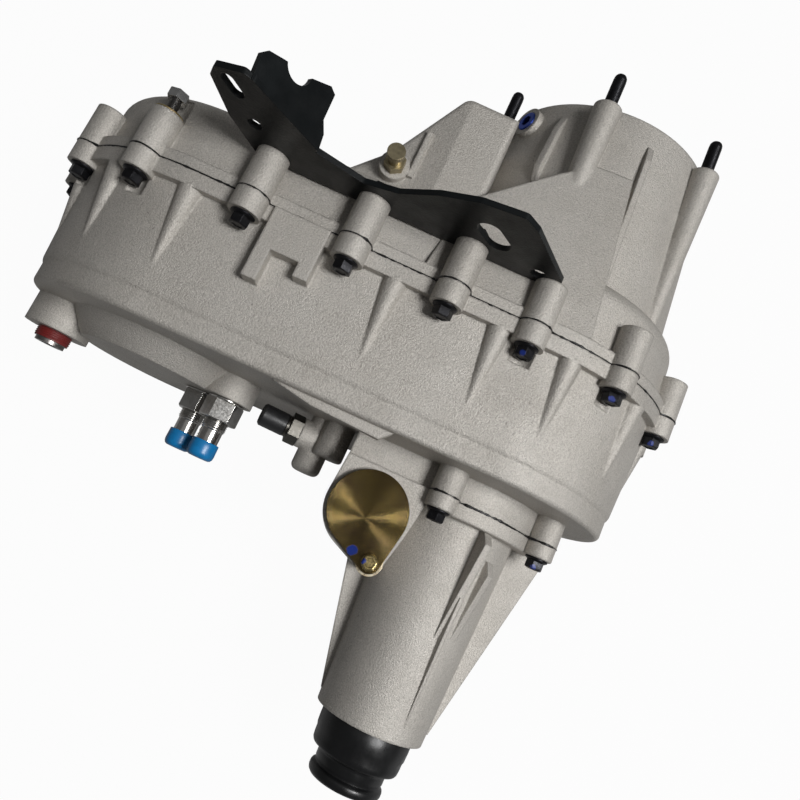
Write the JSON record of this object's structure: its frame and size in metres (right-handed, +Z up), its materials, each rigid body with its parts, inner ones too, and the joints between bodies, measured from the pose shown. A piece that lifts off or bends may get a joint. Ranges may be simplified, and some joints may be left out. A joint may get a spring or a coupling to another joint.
{
  "type": "transfer case",
  "caption": "Chain-driven four wheel drive transfer case with planetary low range, offset front output, tail housing and a stud-ring input face",
  "frame": {"origin": "centre of the stud circle on the front mounting face", "axes": "+X forward along the main shaft, +Y left towards the front output, +Z up"},
  "size_m": [0.5565, 0.5177, 0.3338],
  "materials": {
    "annulus_gear": "machined",
    "bracket": "satin black",
    "bracket_screws": "black oxide",
    "case_bolts": "black oxide",
    "case_sealant": "cured sealant",
    "cooler_caps": "moulded",
    "cooler_fittings": "zinc plated",
    "drain_plug": "steel with thread sealant",
    "drive_chain": "machined",
    "drive_sprocket": "machined",
    "driven_sprocket": "machined",
    "front_case": "sand-blasted die casting",
    "front_output_bearing": "ground",
    "front_output_flange": "machined",
    "front_output_nut": "machined",
    "front_output_rear_bearing": "ground",
    "front_output_seal": "moulded",
    "front_output_shaft": "machined",
    "indicator_switch": "zinc plated",
    "input_bearing": "ground",
    "input_gear": "machined",
    "input_retainer": "machined",
    "input_seal": "moulded",
    "input_studs": "black oxide",
    "jack_bolt": "zinc plated",
    "lever_nut": "black oxide",
    "main_bearing": "ground",
    "main_shaft": "machined",
    "mode_fork": "forged",
    "mode_sleeve": "machined",
    "oil_pickup": "moulded",
    "oil_pump": "sand-blasted die casting",
    "oil_pump_rotor": "machined",
    "pipe_plug": "steel with paint mark",
    "planet_carrier": "machined",
    "planet_gear_1": "machined",
    "planet_gear_2": "machined",
    "planet_gear_3": "machined",
    "planet_gear_4": "machined",
    "planet_pins": "machined",
    "plug_bolt": "yellow zinc",
    "plug_clip": "yellow zinc",
    "range_fork": "forged",
    "range_sleeve": "machined",
    "rear_case": "sand-blasted die casting",
    "retainer_screws": "black oxide",
    "shift_lever": "satin black",
    "shift_rail": "ground",
    "shift_sector": "forged",
    "speedometer_plug": "turned",
    "switch_connector": "moulded",
    "tail_bolts": "black oxide",
    "tail_boot": "moulded",
    "tail_housing": "sand-blasted die casting",
    "tail_seal": "moulded",
    "tail_sealant": "cured sealant",
    "vent": "turned"
  },
  "bodies": {
    "case": {"annulus_gear": "annulus_gear", "bracket": "bracket", "bracket_screws": "bracket_screws", "case_bolts": "case_bolts", "case_sealant": "case_sealant", "cooler_caps": "cooler_caps", "cooler_fittings": "cooler_fittings", "drain_plug": "drain_plug", "drive_chain": "drive_chain", "front_case": "front_case", "front_output_bearing": "front_output_bearing", "front_output_rear_bearing": "front_output_rear_bearing", "front_output_seal": "front_output_seal", "indicator_switch": "indicator_switch", "input_bearing": "input_bearing", "input_retainer": "input_retainer", "input_seal": "input_seal", "input_studs": "input_studs", "jack_bolt": "jack_bolt", "main_bearing": "main_bearing", "oil_pickup": "oil_pickup", "oil_pump": "oil_pump", "pipe_plug": "pipe_plug", "plug_bolt": "plug_bolt", "plug_clip": "plug_clip", "rear_case": "rear_case", "retainer_screws": "retainer_screws", "shift_rail": "shift_rail", "speedometer_plug": "speedometer_plug", "switch_connector": "switch_connector", "tail_bolts": "tail_bolts", "tail_boot": "tail_boot", "tail_housing": "tail_housing", "tail_seal": "tail_seal", "tail_sealant": "tail_sealant", "vent": "vent"},
    "main_shaft": {"main_shaft": "main_shaft", "oil_pump_rotor": "oil_pump_rotor"},
    "input": {"input_gear": "input_gear"},
    "carrier": {"planet_carrier": "planet_carrier", "planet_pins": "planet_pins"},
    "planet_1": {"planet_gear_1": "planet_gear_1"},
    "planet_2": {"planet_gear_2": "planet_gear_2"},
    "planet_3": {"planet_gear_3": "planet_gear_3"},
    "planet_4": {"planet_gear_4": "planet_gear_4"},
    "range_sleeve": {"range_sleeve": "range_sleeve"},
    "mode_sleeve": {"mode_sleeve": "mode_sleeve"},
    "drive_sprocket": {"drive_sprocket": "drive_sprocket"},
    "front_output": {"front_output_shaft": "front_output_shaft", "driven_sprocket": "driven_sprocket", "front_output_flange": "front_output_flange", "front_output_nut": "front_output_nut"},
    "selector": {"shift_sector": "shift_sector", "shift_lever": "shift_lever", "lever_nut": "lever_nut"},
    "range_fork": {"range_fork": "range_fork"},
    "mode_fork": {"mode_fork": "mode_fork"}
  },
  "joints": [
    {"name": "main_spin", "type": "hinge", "parent": "case", "child": "main_shaft", "pos_m": [-0.2, 0, 0], "axis": [1, 0, 0], "continuous": true},
    {"name": "input_spin", "type": "hinge", "parent": "case", "child": "input", "pos_m": [-0.05, 0, 0], "axis": [1, 0, 0], "continuous": true},
    {"name": "carrier_spin", "type": "hinge", "parent": "case", "child": "carrier", "pos_m": [-0.078, 0, 0], "axis": [1, 0, 0], "continuous": true},
    {"name": "planet_1_spin", "type": "hinge", "parent": "carrier", "child": "planet_1", "pos_m": [-0.078, 0.04725, 0], "axis": [1, 0, 0], "continuous": true},
    {"name": "planet_2_spin", "type": "hinge", "parent": "carrier", "child": "planet_2", "pos_m": [-0.078, 0, 0.04725], "axis": [1, 0, 0], "continuous": true},
    {"name": "planet_3_spin", "type": "hinge", "parent": "carrier", "child": "planet_3", "pos_m": [-0.078, -0.04725, 0], "axis": [1, 0, 0], "continuous": true},
    {"name": "planet_4_spin", "type": "hinge", "parent": "carrier", "child": "planet_4", "pos_m": [-0.078, 0, -0.04725], "axis": [1, 0, 0], "continuous": true},
    {"name": "drive_sprocket_spin", "type": "hinge", "parent": "case", "child": "drive_sprocket", "pos_m": [-0.238, 0, 0], "axis": [1, 0, 0], "continuous": true},
    {"name": "front_output_spin", "type": "hinge", "parent": "case", "child": "front_output", "pos_m": [-0.238, 0.262, 0], "axis": [1, 0, 0], "continuous": true},
    {"name": "range_sleeve_slide", "type": "slide", "parent": "main_shaft", "child": "range_sleeve", "axis": [-1, 0, 0], "range_m": [0, 0.018]},
    {"name": "mode_sleeve_slide", "type": "slide", "parent": "main_shaft", "child": "mode_sleeve", "axis": [1, 0, 0], "range_m": [0, 0.01]},
    {"name": "range_fork_slide", "type": "slide", "parent": "case", "child": "range_fork", "axis": [-1, 0, 0], "range_m": [0, 0.018]},
    {"name": "mode_fork_slide", "type": "slide", "parent": "case", "child": "mode_fork", "axis": [1, 0, 0], "range_m": [0, 0.01]},
    {"name": "selector_turn", "type": "hinge", "parent": "case", "child": "selector", "pos_m": [-0.108, 0.12, -0.058], "axis": [0, -1, 0], "range_deg": [0, 28.95]}
  ],
  "couplings": [
    {"joint": "input_spin", "follows": "main_spin", "ratio": 1},
    {"joint": "carrier_spin", "follows": "main_spin", "ratio": 0.35714},
    {"joint": "planet_1_spin", "follows": "main_spin", "ratio": -1.6071},
    {"joint": "planet_2_spin", "follows": "main_spin", "ratio": -1.6071},
    {"joint": "planet_3_spin", "follows": "main_spin", "ratio": -1.6071},
    {"joint": "planet_4_spin", "follows": "main_spin", "ratio": -1.6071},
    {"joint": "drive_sprocket_spin", "follows": "main_spin", "ratio": 1},
    {"joint": "front_output_spin", "follows": "main_spin", "ratio": 1},
    {"joint": "range_sleeve_slide", "follows": "selector_turn", "m_per_rad": 0.035618},
    {"joint": "range_fork_slide", "follows": "selector_turn", "m_per_rad": 0.035618},
    {"joint": "mode_sleeve_slide", "follows": "mode_fork_slide", "ratio": 1}
  ]
}
